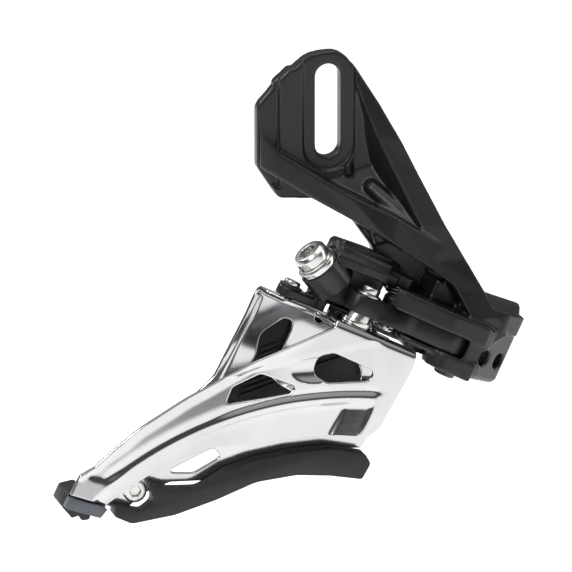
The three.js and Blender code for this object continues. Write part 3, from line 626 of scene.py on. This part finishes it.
def dress_nodes():
    slots = {s["node"]: s["material_slot"] for s in frame["record"]["subparts"]}
    for node, obj in frame["nodes"].items():
        paint(obj, slots[node])
    for node in ("outer_link", "inner_link"):
        paint(frame["nodes"][node], "link_paint")
    # painted shade: the flange rivets and the outer housing pin get the dark steel in place of the bright
    # turned steel
    for node in ("flange_rivet_1", "flange_rivet_2", "housing_pin_outer"):
        paint(frame["nodes"][node], "spring")
    softened("bracket_housing", 0.32 * MM, 10)
    softened("inner_link", 0.22 * MM, 4)
    for node in ("outer_link", "skid_plate", "tail_block", "tail_tip"):
        bevelled(node, 0.45 * MM)
    for node in ("cable_bolt", "cable_washer", "cable_clamp_plate", "cage_washer_lower", "cage_washer_upper",
                 "cage_pin_outer", "cage_pin_inner", "cage_pin_clip", "tail_bolt", "tail_nut"):
        bevelled(node, 0.12 * MM)


def add_plates():
    for make, node in ((cage_outer_plate, "cage_outer_plate"), (cage_inner_plate, "cage_inner_plate")):
        plate = make()
        plate.data.materials.append(MATERIALS["chrome"])
        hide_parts(node)
        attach(plate, "cage")


# ---------------------------------------------------------------- return spring
PIVOT_D = (8.3, 5.1)
COIL = {"low": 8.6, "high": 10.8, "radius": 2.9, "wire": 0.8, "turns": 1.7, "leg": 2.2}


def spring_path(steps=110):
    """Points along the wire: a leg, the coil and another leg, about pivot D."""
    rise = COIL["high"] - COIL["low"] - COIL["wire"]
    points = []
    for k in range(-8, steps + 9):
        s = min(1, max(0, k / steps))
        angle = 0.4 + s * COIL["turns"] * TAU
        tangent = Vector((-math.sin(angle), math.cos(angle), 0))
        past = (k if k < 0 else max(0, k - steps)) / 8 * COIL["leg"]
        level = COIL["low"] + COIL["wire"] / 2 + s * rise
        ring = Vector((math.cos(angle), math.sin(angle), 0)) * COIL["radius"]
        points.append(Vector((*PIVOT_D, level)) + ring + tangent * past)
    return points


def tube(name, path, radius, sides=14):
    """A round wire along a path, closed at both ends."""
    mesh = bmesh.new()
    rings = []
    for i, p in enumerate(path):
        along = (path[min(i + 1, len(path) - 1)] - path[max(i - 1, 0)]).normalized()
        across = along.cross(Vector((0, 0, 1))).normalized()
        up = across.cross(along)
        rings.append([
            mesh.verts.new(LINKAGE @ ((p + (across * math.cos(t) + up * math.sin(t)) * radius) * MM))
            for t in (TAU * k / sides for k in range(sides))
        ])
    for low, high in zip(rings, rings[1:]):
        for k in range(sides):
            j = (k + 1) % sides
            mesh.faces.new((low[k], low[j], high[j], high[k]))
    mesh.faces.new(rings[0][::-1])
    mesh.faces.new(rings[-1])
    return finished(name, mesh)


def add_spring():
    spring = tube("spring_coil", spring_path(), COIL["wire"] / 2)
    spring.data.materials.append(MATERIALS["spring"])
    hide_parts("return_spring")
    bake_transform(spring)


# ---------------------------------------------------------------- stage, light and camera
FLOOR_SIZE = 8
FLOOR_LEVEL = -0.16


def add_floor():
    bpy.ops.mesh.primitive_plane_add(size=FLOOR_SIZE, location=(0, 0, FLOOR_LEVEL))
    floor = bpy.context.object
    floor.name = "floor"
    floor.data.materials.append(pale_floor())


def area(name, size, power, place, target):
    light = bpy.data.lights.new(name, "AREA")
    light.shape = "RECTANGLE"
    light.size, light.size_y = size
    light.energy = power
    obj = bpy.data.objects.new(name, light)
    obj.location = place
    obj.rotation_euler = (Vector(target) - Vector(place)).to_track_quat("-Z", "Y").to_euler()
    bpy.context.collection.objects.link(obj)


SKY = ((0.0, 0.5), (0.47, 0.42), (0.53, 0.1), (0.62, 0.16), (0.74, 0.75), (1.0, 1.0))


def add_sky():
    """A studio's surroundings for reflections: pale below, dark round the horizon and bright above."""
    world = bpy.data.worlds.new("studio")
    bpy.context.scene.world = world
    world.use_nodes = True
    tree = world.node_tree
    coord = tree.nodes.new("ShaderNodeTexCoord")
    split = tree.nodes.new("ShaderNodeSeparateXYZ")
    height = tree.nodes.new("ShaderNodeMapRange")
    height.inputs["From Min"].default_value = -1
    ramp = tree.nodes.new("ShaderNodeValToRGB")
    tree.links.new(coord.outputs["Generated"], split.inputs[0])
    tree.links.new(split.outputs["Z"], height.inputs["Value"])
    tree.links.new(height.outputs["Result"], ramp.inputs[0])
    stops = ramp.color_ramp.elements
    while len(stops) < len(SKY):
        stops.new(0.5)
    for stop, (at, tone) in zip(stops, SKY):
        stop.position = at
        stop.color = (tone, tone, tone * 1.01, 1)
    tree.nodes["Background"].inputs["Strength"].default_value = 0.6
    tree.links.new(ramp.outputs[0], tree.nodes["Background"].inputs["Color"])


def add_light():
    middle = (-0.015, -0.02, -0.025)
    area("key_left", (0.45, 0.45), 4.2, (-0.75, -0.6, 0.7), middle)
    area("top", (0.7, 0.5), 3.2, (0.05, -0.1, 0.9), middle)
    area("rim_left", (0.3, 0.3), 4.5, (-0.65, 0.5, 0.6), middle)
    area("rim_right", (0.2, 0.7), 1.6, (0.8, -0.2, 0.15), middle)
    add_sky()


VIEW = (math.radians(-14), math.radians(14))
AIM = Vector((-15.4, -24, -23.6)) * MM
VIEW_WIDTH = 136.2 * MM
DISTANCE = 2.0


def add_camera():
    turn, rise = VIEW
    back = Vector((math.sin(turn) * math.cos(rise), -math.cos(turn) * math.cos(rise), math.sin(rise)))
    data = bpy.data.cameras.new("camera")
    data.sensor_width = 36
    data.lens = data.sensor_width * DISTANCE / VIEW_WIDTH
    data.clip_start, data.clip_end = 0.1, 20
    camera = bpy.data.objects.new("camera", data)
    camera.location = AIM + back * DISTANCE
    camera.rotation_mode = "QUATERNION"
    camera.rotation_quaternion = (-back).to_track_quat("-Z", "Y")
    bpy.context.collection.objects.link(camera)
    bpy.context.scene.camera = camera
    bpy.context.scene.view_settings.view_transform = "Standard"


dress_nodes()
add_plates()
add_spring()
add_floor()
add_light()
add_camera()
